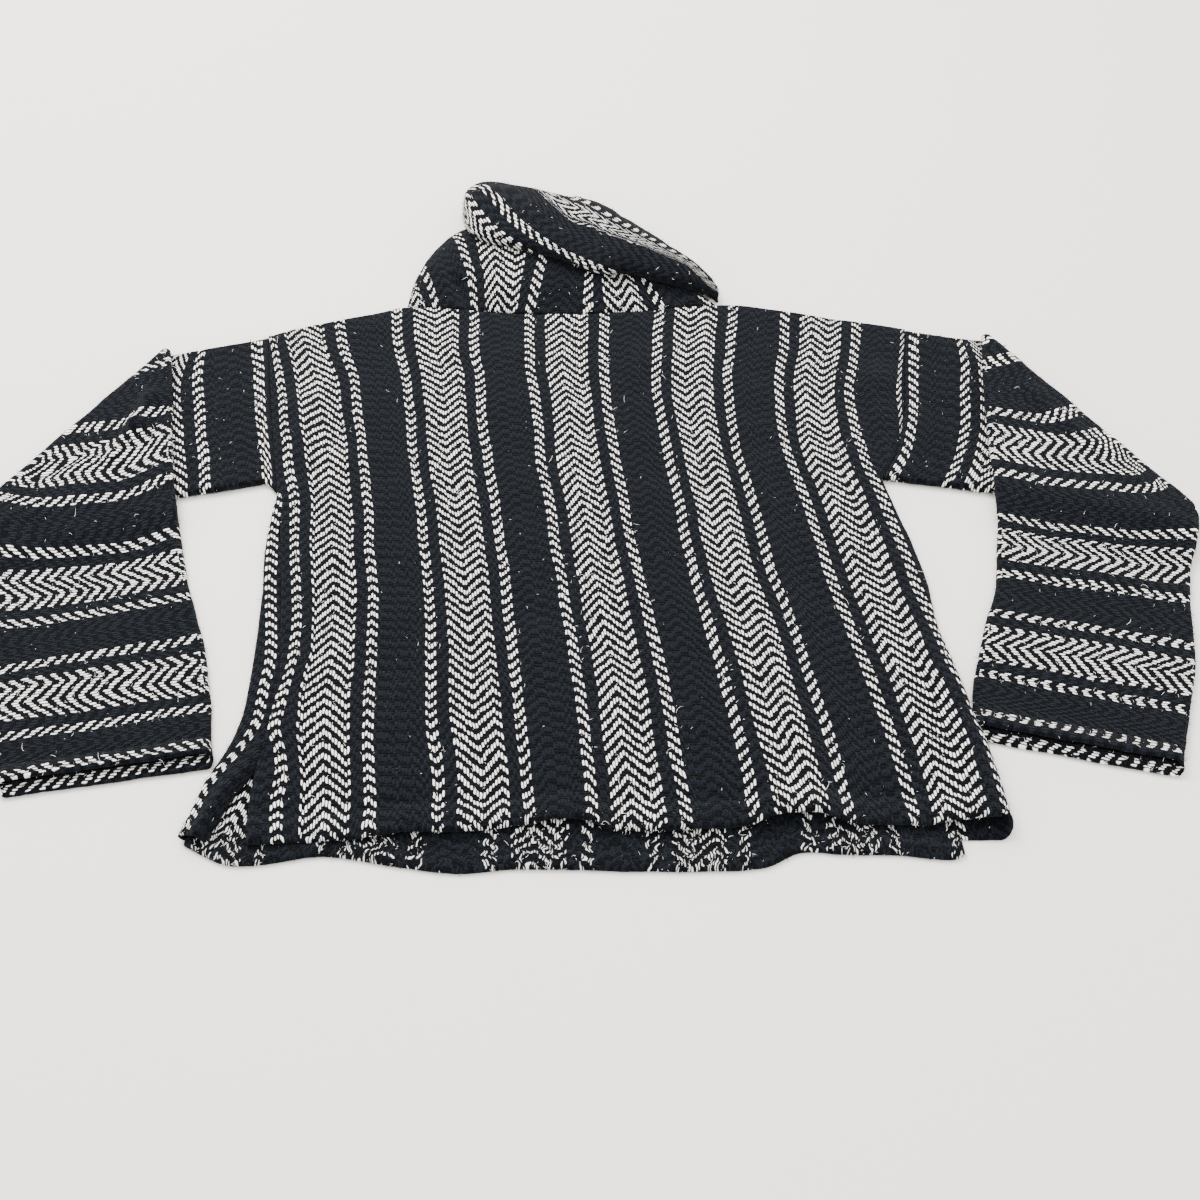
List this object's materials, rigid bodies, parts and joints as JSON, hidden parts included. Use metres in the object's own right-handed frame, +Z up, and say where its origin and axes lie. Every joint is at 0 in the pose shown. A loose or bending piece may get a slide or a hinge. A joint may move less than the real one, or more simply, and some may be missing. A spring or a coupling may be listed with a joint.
{
  "type": "baja hoodie laid flat",
  "caption": "Hooded pullover of thick striped blanket cloth, laid flat with its back side up, sleeves folded down and hood folded over above the neck.",
  "frame": {"origin": "middle of the bounding box, on the surface that the garment lies on", "axes": "+X towards the right of the laid garment, +Y from the hems towards the hood, +Z up"},
  "size_m": [1.0212, 0.7641, 0.042],
  "materials": {
    "blanket_cloth": "coarse black and off-white cotton blanket weave with herringbone bands and twill cords, slightly fuzzy"
  },
  "bodies": {
    "root": {"front_panel": "blanket_cloth", "back_panel": "blanket_cloth", "sleeve_left": "blanket_cloth", "sleeve_right": "blanket_cloth", "hood_under": "blanket_cloth", "hood_back": "blanket_cloth", "hood_crown": "blanket_cloth"}
  },
  "joints": []
}
